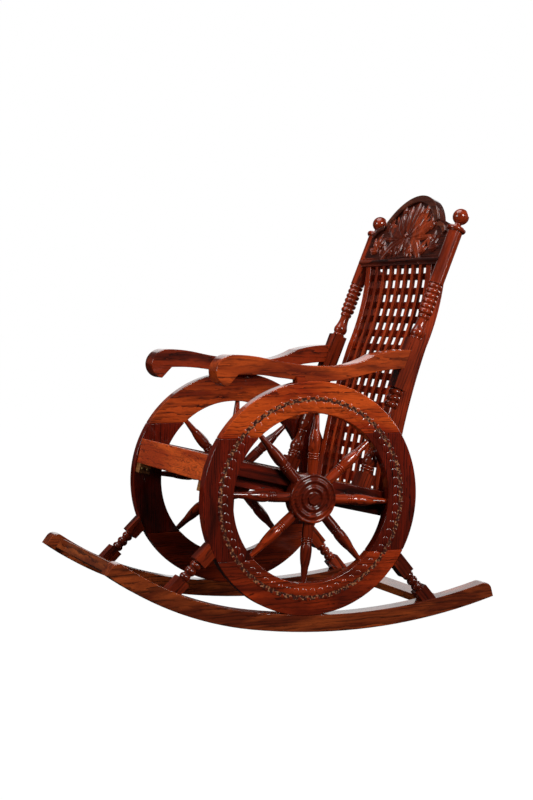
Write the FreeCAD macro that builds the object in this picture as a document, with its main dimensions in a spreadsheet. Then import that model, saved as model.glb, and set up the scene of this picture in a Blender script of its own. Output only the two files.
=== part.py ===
"""Rocking chair with a carved back, wheel sides and long rockers, in turned and sawn hardwood.

Frame: X across the chair (+X is the sitter's left), Y towards the back, Z up from the floor.
The two sides are alike, so each side piece is built once and placed at +X and at -X.
"""
import FreeCAD, Part
import math
import os
import Sketcher

V = FreeCAD.Vector
doc = FreeCAD.newDocument("RockingChair")

# ---------------------------------------------------------------- driving dimensions, mm and degrees
SIZES = {
    # wheels
    "wheel_radius": 307, "rim_width": 84, "rim_thickness": 31, "wheel_gap": 512,
    "joint_above": 165, "joint_below": 150, "hub_radius": 65, "hub_length": 38, "hub_proud": 7,
    "spoke_radius": 15.5, "spoke_tip_radius": 6.5, "spoke_turn": 5,
    # rockers and what stands on them
    "rocker_depth": 45, "rocker_width": 48, "rocker_rear_radius": 1680, "rocker_front_radius": 913,
    "rocker_low_behind": 110, "rocker_bend_ahead": 176, "rocker_front_reach": 566,
    "rocker_rear_reach": 546, "rocker_nose": 22, "wheel_let_in": 2,
    "strut_side": 36, "strut_bead_radius": 16, "strut_bead_pitch": 20,
    "front_strut_foot": 385, "front_strut_slope": 44, "rear_strut_foot": 348, "rear_strut_slope": 50,
    "front_stretcher_reach": 522, "stretcher_depth": 30, "stretcher_thick": 22,
    "rear_stretcher_reach": 345, "rear_stretcher_width": 45,
    # seat frame, pitched back
    "seat_pitch": 13.3, "seat_front_inset": 26, "seat_front_up": 124, "seat_length": 575,
    "front_rail_height": 70, "rail_thick": 24, "side_rail_height": 38, "side_rail_width": 28,
    "rear_rail_width": 55, "rear_rail_height": 30, "bearer_height": 28, "bearer_width": 30,
    "seat_slat_width": 32, "seat_slat_thick": 10, "seat_slat_count": 9, "seat_batten_count": 6,
    # posts and arms
    "post_lean": 22.7, "post_side": 40, "post_setback": 459, "ball_radius": 22.5,
    "arm_width": 58, "arm_depth": 37, "scroll_ahead": 233, "scroll_up": 28, "scroll_radius": 33,
    # back
    "back_half_width": 195, "stile_width": 30, "stile_depth": 46, "back_foot_setback": 534,
    "back_upper_radius": 650, "back_lower_radius": 2000, "slat_width": 15, "slat_thick": 8.5,
    "cross_slat_height": 19, "cross_slat_thick": 9, "upright_slat_count": 7, "cross_slat_count": 14,
    "crest_rail_up": 612, "crest_rail_height": 26, "crest_rail_thick": 30, "crest_thick": 20,
    "crest_height": 188, "crest_shoulder": 70, "crest_arch_half": 153, "crest_arch_radius": 187,
    "crest_forward": 8, "bottom_rail_height": 30,
    "edge_round": 2, "clearance": 0.3,
}
sheet = doc.addObject("Spreadsheet::Sheet", "Sizes")
for row, (word, number) in enumerate(SIZES.items(), 1):
    sheet.set(f"A{row}", word)
    sheet.set(f"B{row}", str(number))
    sheet.setAlias(f"B{row}", word)
places = doc.addObject("App::VarSet", "Places")
doc.recompute()


class Dim:
    """A number together with the expression that gives it, so a size stays bound to the sheet."""

    def __init__(self, value, text=None):
        self.value = float(value)
        self.text = text or f"({value})"

    def join(self, other, sign, value):
        return Dim(value, f"({self.text} {sign} {other.text})")

    def __add__(self, other):
        other = dim(other)
        return self.join(other, "+", self.value + other.value)

    def __sub__(self, other):
        other = dim(other)
        return self.join(other, "-", self.value - other.value)

    def __mul__(self, other):
        other = dim(other)
        return self.join(other, "*", self.value * other.value)

    def __truediv__(self, other):
        other = dim(other)
        return self.join(other, "/", self.value / other.value)

    def __neg__(self):
        return Dim(-self.value, f"(0 - {self.text})")

    def __radd__(self, other):
        return dim(other) + self

    def __rsub__(self, other):
        return dim(other) - self

    def __rmul__(self, other):
        return dim(other) * self


def dim(thing):
    return thing if isinstance(thing, Dim) else Dim(thing)


def root(number):
    return Dim(math.sqrt(number.value), f"sqrt({number.text})")


def sine(angle):
    return Dim(math.sin(math.radians(angle.value)), f"sin({angle.text})")


def cosine(angle):
    return Dim(math.cos(math.radians(angle.value)), f"cos({angle.text})")


def size(word):
    return Dim(sheet.get(word), f"Sizes.{word}")


def place(word, number):
    """Keep a worked-out place under a name, so later expressions stay short."""
    places.addProperty("App::PropertyFloat", word, "Places")
    places.setExpression(word, number.text)
    return Dim(number.value, f"Places.{word}")


# ---------------------------------------------------------------- builders
PARTS = []


def bind(thing, prop, number):
    number = dim(number)
    thing.setExpression(prop, number.text)


def put(thing, x=0, y=0, z=0, tilt=None, axis=V(-1, 0, 0)):
    """Stand an object at a place, tipped by an angle about an axis (-X tips it back)."""
    if tilt is not None:
        thing.Placement = FreeCAD.Placement(V(), FreeCAD.Rotation(axis, dim(tilt).value))
        bind(thing, "Placement.Rotation.Angle", tilt)
    for letter, number in zip("xyz", (x, y, z)):
        bind(thing, f"Placement.Base.{letter}", number)
    return thing


def new_body(name):
    return doc.addObject("PartDesign::Body", name)


def keep(thing, label=None):
    if label:
        thing.Label = label
    PARTS.append(thing)
    return thing


def plane_of(body, role):
    return [(item, "") for item in body.Origin.OriginFeatures if item.Role == role]


def new_sketch(body, role, level=None):
    sketch = body.newObject("Sketcher::SketchObject", "Sketch")
    sketch.AttachmentSupport = plane_of(body, role)
    sketch.MapMode = "FlatFace"
    if level is not None:
        bind(sketch, "AttachmentOffset.Base.z", level)
    return sketch


def pin(sketch, geometry, end, point):
    """Hold one end of an edge at its bound place."""
    for axis, number in zip(("DistanceX", "DistanceY"), point):
        number = dim(number)
        index = sketch.addConstraint(Sketcher.Constraint(axis, -1, 1, geometry, end, number.value))
        bind(sketch, f"Constraints[{index}]", number)


def arc_between(start, end, radius, turn):
    """The short arc from start to end; turn is +1 anticlockwise and -1 clockwise."""
    middle, half = (start + end) * 0.5, (end - start) * 0.5
    reach = math.sqrt(max(radius * radius - half.Length ** 2, 0))
    side = V(-half.y, half.x, 0).normalize() * (reach * turn)
    centre = middle + side
    first, last = (start, end) if turn > 0 else (end, start)
    angles = [math.atan2(p.y - centre.y, p.x - centre.x) for p in (first, last)]
    return Part.ArcOfCircle(Part.Circle(centre, V(0, 0, 1), radius), *angles)


def outline(sketch, start, moves):
    """Draw a closed outline: a move is a point, or a point with a radius and a turn."""
    moves = list(moves) + [start]
    here, last = start, None
    first = len(sketch.Geometry)
    for index, move in enumerate(moves, first):
        there = move[:2]
        a, b = (V(dim(p[0]).value, dim(p[1]).value, 0) for p in (here, there))
        head, tail = 1, 2
        if len(move) == 4:
            radius, turn = dim(move[2]), move[3]
            sketch.addGeometry(arc_between(a, b, radius.value, turn))
            row = sketch.addConstraint(Sketcher.Constraint("Radius", index, radius.value))
            bind(sketch, f"Constraints[{row}]", radius)
            head, tail = (1, 2) if turn > 0 else (2, 1)
        else:
            sketch.addGeometry(Part.LineSegment(a, b))
        if index == first:
            opening = (index, head)
        else:
            sketch.addConstraint(Sketcher.Constraint("Coincident", *last, index, head))
        if index < first + len(moves) - 1:
            pin(sketch, index, tail, there)
        last, here = (index, tail), there
    sketch.addConstraint(Sketcher.Constraint("Coincident", *last, *opening))
    pin(sketch, *opening, start)


def rectangle(sketch, left, low, right, high):
    outline(sketch, (left, low), [(right, low), (right, high), (left, high)])


def pad(body, sketch, length, symmetric=True, reverse=False):
    feature = body.newObject("PartDesign::Pad", "Pad")
    feature.Profile = sketch
    feature.SideType = "Symmetric" if symmetric else "One side"
    feature.Reversed = reverse
    bind(feature, "Length", length)
    return feature


def revolve(body, sketch):
    feature = body.newObject("PartDesign::Revolution", "Turning")
    feature.Profile = sketch
    feature.ReferenceAxis = (sketch, ["V_Axis"])
    feature.Angle = 360
    return feature


def ease(body, radius=None):
    """Round every edge of the piece, as a sanded and varnished piece has."""
    doc.recompute()
    base = body.Tip
    feature = body.newObject("PartDesign::Fillet", "Ease")
    feature.Base = (base, ["Edge1"])
    feature.UseAllEdges = True
    bind(feature, "Radius", size("edge_round") if radius is None else radius)
    return feature


def board(name, x_size, y_size, z_size, x=0, y=0, z=0, tilt=None, round_by=None):
    """A plain board, centred across X, with its front bottom edge at y, z."""
    body = new_body(name)
    sketch = new_sketch(body, "YZ_Plane")
    rectangle(sketch, 0, 0, y_size, z_size)
    pad(body, sketch, x_size)
    ease(body, round_by)
    return keep(put(body, x, y, z, tilt))


def turned_profile(sketch, foot, head, rounds):
    """A turning's half outline: rounds go up the axis as (height, radius) or (..., bulge, turn)."""
    outline(sketch, (0, foot), [(item[1], item[0], *item[2:]) for item in rounds] + [(0, head)])


SIDES = {"left": 1, "right": -1}

# ---------------------------------------------------------------- places that many pieces share
wheel_r = size("wheel_radius")
rim_inner = place("rim_inner", wheel_r - size("rim_width"))
wheel_x = place("wheel_x", (size("wheel_gap") + size("rim_thickness")) / 2)
axle_y = dim(10)
rocker_top_r = place("rocker_top_r", size("rocker_rear_radius") - size("rocker_depth"))
rocker_low_y = place("rocker_low_y", axle_y + size("rocker_low_behind"))
top_at_axle = place("top_at_axle", size("rocker_rear_radius") - root(
    rocker_top_r * rocker_top_r - size("rocker_low_behind") * size("rocker_low_behind")))
axle_z = place("axle_z", top_at_axle + wheel_r - size("wheel_let_in"))


# ---------------------------------------------------------------- rockers
def rocker_shape():
    """Where the long rear arc and the tighter front arc lie, and the outline's corners."""
    rear_r, front_r, depth = size("rocker_rear_radius"), size("rocker_front_radius"), size("rocker_depth")
    bend_y = place("bend_y", axle_y - size("rocker_bend_ahead"))
    off_y = place("bend_off", bend_y - rocker_low_y)
    bend_z = place("bend_z", rear_r - root(rear_r * rear_r - off_y * off_y))
    share = place("front_share", front_r / rear_r)
    centre_y = place("front_centre_y", bend_y - off_y * share)
    centre_z = place("front_centre_z", bend_z + (rear_r - bend_z) * share)
    corners = {}
    for end, reach, cy, cz, radius in (
            ("front", -size("rocker_front_reach"), centre_y, centre_z, front_r),
            ("rear", size("rocker_rear_reach"), rocker_low_y, rear_r, rear_r),
            ("bend", -size("rocker_bend_ahead"), rocker_low_y, rear_r, rear_r)):
        y = place(f"{end}_low_y", axle_y + reach)
        z = place(f"{end}_low_z", cz - root(radius * radius - (y - cy) * (y - cy)))
        slim = place(f"{end}_slim", (radius - depth) / radius)
        top_y = place(f"{end}_top_y", cy + (y - cy) * slim)
        top_z = place(f"{end}_top_z", cz + (z - cz) * slim)
        corners[end] = ((y, z), (top_y, top_z))
    return corners, (centre_y, centre_z)


ROCKER, FRONT_CENTRE = rocker_shape()
front_top_r = place("front_top_r", size("rocker_front_radius") - size("rocker_depth"))


def rocker(side):
    """A rocker sawn from a plank: two tangent arcs, ends rounded over on top, a seat for the wheel."""
    body = new_body(f"rocker_{side}")
    sketch = new_sketch(body, "YZ_Plane")
    (front_low, front_top), (rear_low, rear_top) = ROCKER["front"], ROCKER["rear"]
    bend_low, bend_top = ROCKER["bend"]
    outline(sketch, front_low, [
        (*bend_low, size("rocker_front_radius"), 1), (*rear_low, size("rocker_rear_radius"), 1),
        rear_top, (*bend_top, rocker_top_r, -1), (*front_top, front_top_r, -1)])
    pad(body, sketch, size("rocker_width"))
    seat = new_sketch(body, "YZ_Plane")
    circle = seat.addGeometry(Part.Circle(V(axle_y.value, axle_z.value, 0), V(0, 0, 1), wheel_r.value))
    pin(seat, circle, 3, (axle_y, axle_z))
    row = seat.addConstraint(Sketcher.Constraint("Radius", circle, wheel_r.value))
    bind(seat, f"Constraints[{row}]", wheel_r)
    notch = body.newObject("PartDesign::Pocket", "WheelSeat")
    notch.Profile = seat
    notch.SideType = "Symmetric"
    bind(notch, "Length", size("rocker_width") * 2)
    doc.recompute()
    tops = [f"Edge{i}" for i, edge in enumerate(notch.Shape.Edges, 1)
            if any(edge.CenterOfMass.distanceToPoint(V(0, p[0].value, p[1].value)) < 1
                   for p in (front_top, rear_top))]
    nose = body.newObject("PartDesign::Fillet", "Nose")
    nose.Base = (notch, tops)
    bind(nose, "Radius", size("rocker_nose"))
    doc.recompute()
    long_edges = [f"Edge{i}" for i, edge in enumerate(nose.Shape.Edges, 1)
                  if edge.Length > 3 * size("rocker_width").value]
    rounded = body.newObject("PartDesign::Fillet", "Ease")
    rounded.Base = (nose, long_edges)
    bind(rounded, "Radius", size("edge_round"))
    return keep(put(body, wheel_x * SIDES[side]))


# ---------------------------------------------------------------- wheels
def trim_disc(name, side, y, z, radius):
    disc = doc.addObject("Part::Cylinder", name)
    bind(disc, "Radius", radius)
    bind(disc, "Height", size("rocker_width") * 2)
    disc.Placement = FreeCAD.Placement(V(), FreeCAD.Rotation(V(0, 1, 0), 90))
    return put(disc, wheel_x * SIDES[side] - size("rocker_width"), y, z)


def felloe(name, side, start, moves):
    body = new_body(f"{name}_felloe_{side}")
    sketch = new_sketch(body, "YZ_Plane")
    outline(sketch, start, moves)
    pad(body, sketch, size("rim_thickness"))
    ease(body)
    return keep(put(body, wheel_x * SIDES[side], axle_y, axle_z))


def chord_half(name, radius, height):
    return place(name, root(radius * radius - height * height))


up, down = size("joint_above"), -size("joint_below")
UP_OUT, UP_IN = chord_half("up_out", wheel_r, up), chord_half("up_in", rim_inner, up)
LOW_OUT, LOW_IN = chord_half("low_out", wheel_r, down), chord_half("low_in", rim_inner, down)


def rim(side):
    """Four felloes sawn from planks, glued at level butt joints."""
    felloe("top", side, (UP_OUT, up), [
        (0, wheel_r, wheel_r, 1), (-UP_OUT, up, wheel_r, 1), (-UP_IN, up), (UP_IN, up, rim_inner, -1)])
    felloe("bottom", side, (-LOW_OUT, down), [
        (0, -wheel_r, wheel_r, 1), (LOW_OUT, down, wheel_r, 1), (LOW_IN, down),
        (-LOW_IN, down, rim_inner, -1)])
    felloe("front", side, (-UP_OUT, up), [
        (-LOW_OUT, down, wheel_r, 1), (-LOW_IN, down), (-UP_IN, up, rim_inner, -1)])
    felloe("rear", side, (LOW_OUT, down), [
        (UP_OUT, up, wheel_r, 1), (UP_IN, up), (LOW_IN, down, rim_inner, -1)])


def hub(side):
    """A turned disc with ring grooves and a centre boss on its outer face."""
    body = new_body(f"hub_{side}")
    sketch = new_sketch(body, "XZ_Plane")
    radius, length = size("hub_radius"), size("hub_length")
    face = length
    groove, depth = dim(9.3), dim(2.5)
    moves = [(radius, 0), (radius, face - 4), (radius - 4, face, 4, 1)]
    for index in range(5):
        outer = radius - 4 - groove * index
        moves.append((outer - groove, face, groove * 0.62, -1 if index % 2 == 0 else 1))
    moves.append((radius - 4 - groove * 5, face + depth))
    moves.append((0, face + depth))
    outline(sketch, (0, 0), moves)
    revolve(body, sketch)
    start = wheel_x + size("rim_thickness") / 2 + size("hub_proud") - length
    turn = FreeCAD.Rotation(V(0, 1, 0), 90 * SIDES[side])
    body.Placement = FreeCAD.Placement(V(), turn)
    return keep(put(body, start * SIDES[side], axle_y, axle_z))


def spoke(index, side):
    """One turned spoke: plain neck, three rings, then a bulb drawn out to a thin tip."""
    name = f"spoke_{side}_{index + 1}"
    body = new_body(f"{name}_blank")
    sketch = new_sketch(body, "XZ_Plane")
    thick, tip = size("spoke_radius"), size("spoke_tip_radius")
    foot, head = size("hub_radius") - 2, root(rim_inner * rim_inner - tip * tip)
    rings = place(f"rings_{side}_{index}", foot + (head - foot) * 0.24)
    rounds = [(foot, thick - 2), (rings, thick - 1), (rings, thick - 3)]
    for ring in range(3):
        rounds += [(rings + ring * 6 + 6, thick - 3, 3.2, 1)]
    belly = rings + 18
    rounds += [(belly + 24, thick - 0.3, 60, 1), (belly + 62, tip + 3.6, 170, 1), (head, tip)]
    turned_profile(sketch, foot, head, rounds)
    revolve(body, sketch)
    put(body, wheel_x * SIDES[side], axle_y, axle_z, size("spoke_turn") + 45 * index)
    whole = doc.addObject("Part::Cut", name)
    whole.Base = body
    whole.Tool = trim_disc(f"{name}_hub_curve", side, axle_y, axle_z, size("hub_radius"))
    return keep(whole)


# ---------------------------------------------------------------- struts between rocker and rim
def strut(end, side):
    """A square stick with three turned beads, scribed to the rocker below and the rim above."""
    facing = -1 if end == "front" else 1
    reach, slope = size(f"{end}_strut_foot"), size(f"{end}_strut_slope")
    square, bead, pitch = size("strut_side"), size("strut_bead_radius"), size("strut_bead_pitch")
    body = new_body(f"{end}_strut_blank_{side}")
    turning = new_sketch(body, "XZ_Plane")
    middle = pitch * 1.5
    rounds = [(-middle, bead - 5)]
    for index in range(3):
        low = pitch * index - middle
        rounds += [(low + 2, bead - 5), (low + pitch - 2, bead - 5, bead * 0.62, 1)]
    rounds += [(middle, bead - 5)]
    turned_profile(turning, -middle, middle, rounds)
    revolve(body, turning)
    for level, length, reverse in ((middle, wheel_r / 2, False), (-middle, square * 2, True)):
        block = new_sketch(body, "XY_Plane", level)
        rectangle(block, -square / 2, -square / 2, square / 2, square / 2)
        pad(body, block, length, symmetric=False, reverse=reverse)
    cy = (FRONT_CENTRE[0] if end == "front" else rocker_low_y)
    cz = (FRONT_CENTRE[1] if end == "front" else size("rocker_rear_radius"))
    top_r = front_top_r if end == "front" else rocker_top_r
    foot_y = place(f"{end}_{side}_foot_y", axle_y + reach * facing)
    foot_z = place(f"{end}_{side}_foot_z", cz - root(top_r * top_r - (foot_y - cy) * (foot_y - cy)))
    along = square + pitch * 1.5 + 2
    put(body, wheel_x * SIDES[side], foot_y - along * cosine(slope) * facing,
        foot_z + along * sine(slope), (90 - slope) * -facing)
    inside = doc.addObject("Part::Common", f"{end}_strut_scribed_{side}")
    inside.Base = body
    inside.Tool = trim_disc(f"{end}_rocker_curve_{side}", side, cy, cz, top_r)
    whole = doc.addObject("Part::Cut", f"{end}_strut_{side}")
    whole.Base = inside
    whole.Tool = trim_disc(f"{end}_rim_curve_{side}", side, axle_y, axle_z, wheel_r)
    return keep(whole)


def stretchers():
    """Two bars across between the rockers: one at the noses, one flat bar at the rear struts."""
    span = wheel_x * 2 - size("rocker_width")
    for name, reach, y_size, z_size, centre, radius, sink in (
            ("front_stretcher", -size("front_stretcher_reach"), size("stretcher_thick"),
             size("stretcher_depth"), FRONT_CENTRE, front_top_r, 8),
            ("rear_stretcher", size("rear_stretcher_reach"), size("rear_stretcher_width"),
             size("stretcher_thick"), (rocker_low_y, size("rocker_rear_radius")), rocker_top_r, 0)):
        y = place(f"{name}_y", axle_y + reach)
        off = place(f"{name}_off", y - centre[0])
        level = place(f"{name}_z", centre[1] - root(radius * radius - off * off) - sink)
        tilt = Dim(math.degrees(math.asin(-off.value / radius.value)), f"asin(0 - {off.text} / {radius.text})")
        drop = sine(tilt) * z_size
        board(name, span, y_size, z_size, 0, y - drop, level - cosine(tilt) * z_size, tilt)


# ---------------------------------------------------------------- seat frame
pitch_sin, pitch_cos = place("pitch_sin", sine(size("seat_pitch"))), place("pitch_cos", cosine(size("seat_pitch")))
seat_y = place("seat_y", axle_y - (wheel_r - size("seat_front_inset")))
seat_z = place("seat_z", axle_z + size("seat_front_up"))


def seat_point(back, above):
    """A point of the seat: so far back along it, so far above it."""
    return seat_y + back * pitch_cos + above * pitch_sin, seat_z - back * pitch_sin + above * pitch_cos


def seat_board(name, x_size, length, height, back, above, x=0, round_by=None):
    y, z = seat_point(dim(back), dim(above))
    return board(name, x_size, length, height, x, y, z, size("seat_pitch"), round_by)


def row_of_boards(name, count, x_size, length, height, spots):
    """Like boards under one name, as separate solids side by side."""
    body_list = []
    for index, (x, back, above) in enumerate(spots):
        y, z = seat_point(back, above)
        box = doc.addObject("Part::Box", f"{name}_{index + 1}")
        for prop, number in (("Length", x_size), ("Width", length), ("Height", height)):
            bind(box, prop, number)
        put(box, x - x_size / 2, y, z, size("seat_pitch"))
        body_list.append(box)
    group = doc.addObject("Part::Compound", name)
    group.Links = body_list
    return keep(group)


def seat():
    """The front rail, side rails and rear rail, with flat slats laid over battens."""
    thick, span = size("rail_thick"), size("wheel_gap")
    length, side_h, side_w = size("seat_length"), size("side_rail_height"), size("side_rail_width")
    seat_board("front_rail", span, thick, size("front_rail_height"), 0, -size("front_rail_height"))
    inner = place("seat_inner", span - side_w * 2)
    rear_back = length - size("rear_rail_width")
    seat_board("rear_rail", inner, size("rear_rail_width"), size("rear_rail_height"), rear_back,
               -size("rear_rail_height"))
    for side, sign in SIDES.items():
        seat_board(f"side_rail_{side}", side_w, length - thick, side_h, thick, -side_h,
                   (span - side_w) / 2 * sign)
        seat_board(f"seat_bearer_{side}", size("bearer_width"), length - thick, size("bearer_height"), thick,
                   -side_h - size("bearer_height"), (inner / 2 - 8) * sign)
    slat_w, slat_t, count = size("seat_slat_width"), size("seat_slat_thick"), int(sheet.get("seat_slat_count"))
    run = rear_back - thick
    step = (inner - slat_w) / (count - 1 + 0.8)
    edge = step * (count - 1) / 2
    row_of_boards("seat_slats", count, slat_w, run, slat_t,
                  [(step * index - edge, thick, -slat_t - 2) for index in range(count)])
    battens = int(sheet.get("seat_batten_count"))
    row_of_boards("seat_battens", battens, inner, slat_w, slat_t,
                  [(dim(0), thick + run * ((index + 0.5) / battens) - slat_w / 2, -slat_t * 2 - 2)
                   for index in range(battens)])


# ---------------------------------------------------------------- posts
post_y, post_z = (place(f"post_foot_{axis}", number)
                  for axis, number in zip("yz", seat_point(size("post_setback"), dim(0))))
post_x = place("post_x", (size("wheel_gap") - size("post_side")) / 2)
lean_sin, lean_cos = place("lean_sin", sine(size("post_lean"))), place("lean_cos", cosine(size("post_lean")))
arm_low_z = place("arm_low_z", axle_z + wheel_r)
crest_low_z = place("crest_low_z", axle_z + size("crest_rail_up"))


def post_reach(z):
    """How far up the post's own length a level lies."""
    return (z - post_z) / lean_cos


def post_line(z, ahead=0):
    """Where the post's front (or its axis, at ahead 0) stands at a level."""
    return post_y + (z - post_z) * (lean_sin / lean_cos) - dim(ahead) / lean_cos


def post(side):
    """One turned stick: square foot, lower vase, rings, square arm block, vase, rings, column, ball."""
    body = new_body(f"post_{side}")
    half = place(f"post_half_{side}", size("post_side") / 2)
    block_low = place(f"block_low_{side}", post_reach(arm_low_z) - 31)
    block_high = place(f"block_high_{side}", post_reach(arm_low_z) + 112)
    rail_at = place(f"rail_at_{side}", post_reach(crest_low_z) - 56)
    flange = place(f"flange_{side}", rail_at + 155)
    ball = size("ball_radius")
    slant = Dim(math.tan(math.radians(sheet.get("post_lean") - sheet.get("seat_pitch"))),
                "tan(Sizes.post_lean - Sizes.seat_pitch)")
    foot_top = dim(38)

    lower = new_sketch(body, "XZ_Plane")
    rounds = [(foot_top, half - 4), (foot_top + 6, half - 4), (foot_top + 14, half - 4, 4.6, 1),
              (foot_top + 22, half - 4, 4.6, 1), (foot_top + 44, half - 1, 26, 1),
              (foot_top + 80, half - 8, 75, -1), (foot_top + 88, half - 8, 4.6, 1),
              (foot_top + 116, half - 3, 40, 1), (block_low - 56, half - 6, 260, 1),
              (block_low - 54, half - 4)]
    for ring in range(3):
        level = block_low - 54 + ring * 18
        rounds += [(level + 15, half - 4, 9.6, 1), (level + 18, half - 4)]
    turned_profile(lower, foot_top, block_low, rounds)
    revolve(body, lower)

    upper = new_sketch(body, "XZ_Plane")
    rounds = [(block_high, half - 5), (block_high + 7, half - 5, 4.6, 1),
              (block_high + 24, half - 1, 18, 1), (block_high + 60, half - 7, 90, -1)]
    count = 7
    step = place(f"ring_step_{side}", (rail_at - block_high - 60) / count)
    for ring in range(count):
        low = block_high + 60 + step * ring
        rounds += [(low + step - 2, half - 3 - 3 * (ring == 0), step * 0.55, 1), (low + step, half - 3)]
    rounds += [(rail_at, half), (flange, half), (flange, half + 4), (flange + 12, half + 4, 8, 1),
               (flange + 14, half - 9), (flange + 22, half - 11)]
    neck = place(f"neck_{side}", root(ball * ball - (half - 11) * (half - 11)))
    centre = place(f"ball_at_{side}", flange + 22 + neck)
    rounds += [(centre, ball, ball, 1), (centre + ball, 0, ball, 1)]
    outline(upper, (0, block_high), [(rounds[0][1], rounds[0][0])] + [
        (item[1], item[0], *item[2:]) for item in rounds[1:]])
    revolve(body, upper)

    foot = new_sketch(body, "YZ_Plane")
    outline(foot, (-half, -half * slant), [(half, half * slant), (half, foot_top), (-half, foot_top)])
    pad(body, foot, size("post_side"))
    block = new_sketch(body, "YZ_Plane")
    rectangle(block, -half, block_low, half, block_high)
    pad(body, block, size("post_side"))
    return keep(put(body, post_x * SIDES[side], post_y, post_z, size("post_lean")))


# ---------------------------------------------------------------- arms
def arm(side):
    """A wavy arm, sawn in profile, with a round scroll in front, let over the rim and to the post."""
    body = new_body(f"arm_{side}")
    sketch = new_sketch(body, "YZ_Plane")
    low, depth, half = arm_low_z, size("arm_depth"), size("post_side") / 2
    scroll_r = size("scroll_radius")
    scroll_y = place(f"scroll_y_{side}", axle_y - size("scroll_ahead"))
    scroll_z = place(f"scroll_z_{side}", low + size("scroll_up"))
    end_low, end_top = low + 27, low + 77
    notch = (scroll_y + scroll_r * 0.9, scroll_z - 8)
    outline(sketch, notch, [
        (axle_y - 95, low + 12, 600, -1), (axle_y + 12, low - 2.5, 900, 1),
        (axle_y + 60, low - 2.5), (axle_y + 150, low + 11, 420, 1), (post_line(end_low, half), end_low, 600, -1),
        (post_line(end_top, half), end_top), (axle_y + 185, low + 64, 420, 1),
        (axle_y + 75, low + depth - 1, 240, -1), (axle_y - 120, low + depth + 22, 900, -1),
        (scroll_y + 18, scroll_z + 43, 420, 1),
        (scroll_y - scroll_r + 2, scroll_z + 2, 46, 1), (scroll_y, scroll_z - scroll_r - 5, 38, 1)])
    pad(body, sketch, size("arm_width"))
    ease(body)
    seat_cut = new_sketch(body, "YZ_Plane")
    circle = seat_cut.addGeometry(Part.Circle(V(axle_y.value, axle_z.value, 0), V(0, 0, 1), wheel_r.value))
    pin(seat_cut, circle, 3, (axle_y, axle_z))
    row = seat_cut.addConstraint(Sketcher.Constraint("Radius", circle, wheel_r.value))
    bind(seat_cut, f"Constraints[{row}]", wheel_r)
    notch = body.newObject("PartDesign::Pocket", "RimSeat")
    notch.Profile = seat_cut
    notch.SideType = "Symmetric"
    bind(notch, "Length", size("arm_width") * 2)
    arm_x = wheel_x + size("rim_thickness") / 2 - 12 - size("arm_width") / 2
    keep(put(body, arm_x * SIDES[side]))

    block = doc.addObject("Part::Box", f"pad_block_{side}")
    for prop, number in (("Length", size("rim_thickness")), ("Width", 22), ("Height", 30)):
        bind(block, prop, number)
    put(block, wheel_x * SIDES[side] - size("rim_thickness") / 2, axle_y - 44, low - 16)
    under = doc.addObject("Part::Cut", f"pad_under_{side}")
    under.Base = block
    under.Tool = body
    whole = doc.addObject("Part::Cut", f"arm_pad_{side}")
    whole.Base = under
    whole.Tool = trim_disc(f"pad_rim_curve_{side}", side, axle_y, axle_z, wheel_r)
    doc.recompute()
    return keep(whole)


# ---------------------------------------------------------------- back panel and crest
back_foot = tuple(place(f"back_foot_{axis}", number)
                  for axis, number in zip("yz", seat_point(size("back_foot_setback"), dim(0))))
back_top = (place("back_top_y", post_line(crest_low_z, 12)), crest_low_z)
back_mid = (place("back_mid_y", post_line(axle_z + 385, -20)), place("back_mid_z", axle_z + 385))
SEAT_DROP = Dim(math.tan(math.radians(sheet.get("seat_pitch"))), "tan(Sizes.seat_pitch)")
LEAN_DROP = Dim(math.tan(math.radians(sheet.get("post_lean"))), "tan(Sizes.post_lean)")


def arc_centre(name, start, end, radius, turn):
    """Centre of the short arc between two points, kept as two named places."""
    half_y, half_z = (end[0] - start[0]) / 2, (end[1] - start[1]) / 2
    square = place(f"{name}_square", half_y * half_y + half_z * half_z)
    swing = place(f"{name}_swing", root((radius * radius - square) / square) * turn)
    return (place(f"{name}_centre_y", start[0] + half_y - half_z * swing),
            place(f"{name}_centre_z", start[1] + half_z + half_y * swing))


UPPER = arc_centre("upper", back_top, back_mid, size("back_upper_radius"), -1)
LOWER = arc_centre("lower", back_mid, back_foot, size("back_lower_radius"), 1)


def back_front(name, z):
    """Where the stiles' front edge is at a level, and how far it leans back there."""
    high = z.value > back_mid[1].value
    (cy, cz), radius = (UPPER, size("back_upper_radius")) if high else (LOWER, size("back_lower_radius"))
    rise = place(f"{name}_rise", (cz - z) if high else (z - cz))
    reach = root(radius * radius - rise * rise)
    angle = math.degrees(math.asin(rise.value / radius.value))
    return (place(f"{name}_y", cy + reach if high else cy - reach),
            place(f"{name}_lean", Dim(angle, f"asin({rise.text} / {radius.text})")))


def slope_at(name, z):
    lean = back_front(name, z)[1]
    return place(f"{name}_slope", sine(lean) / cosine(lean))


TOP_SLOPE, FOOT_SLOPE = slope_at("at_crest", back_top[1]), slope_at("at_seat", back_foot[1])


def curved_strip(body, width, front, deep, level=None):
    """A strip bent to the back's double curve; front and deep are set back from the stiles' front."""
    sketch = new_sketch(body, "YZ_Plane", level)
    upper, lower, forward = size("back_upper_radius"), size("back_lower_radius"), size("crest_forward")

    def high(shift):
        drop = LEAN_DROP * (shift - forward) / (LEAN_DROP * TOP_SLOPE + 1)
        return back_top[0] + shift - drop * TOP_SLOPE, back_top[1] - drop

    def middle(shift):
        return back_mid[0] + shift, back_mid[1]

    def foot(shift):
        drop = SEAT_DROP * shift / (SEAT_DROP * FOOT_SLOPE + 1)
        return back_foot[0] + shift - drop * FOOT_SLOPE, back_foot[1] - drop
    outline(sketch, high(front), [
        (*middle(front), upper, -1), (*foot(front), lower, 1), foot(deep),
        (*middle(deep), lower, -1), (*high(deep), upper, 1)])
    return pad(body, sketch, width), sketch


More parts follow.
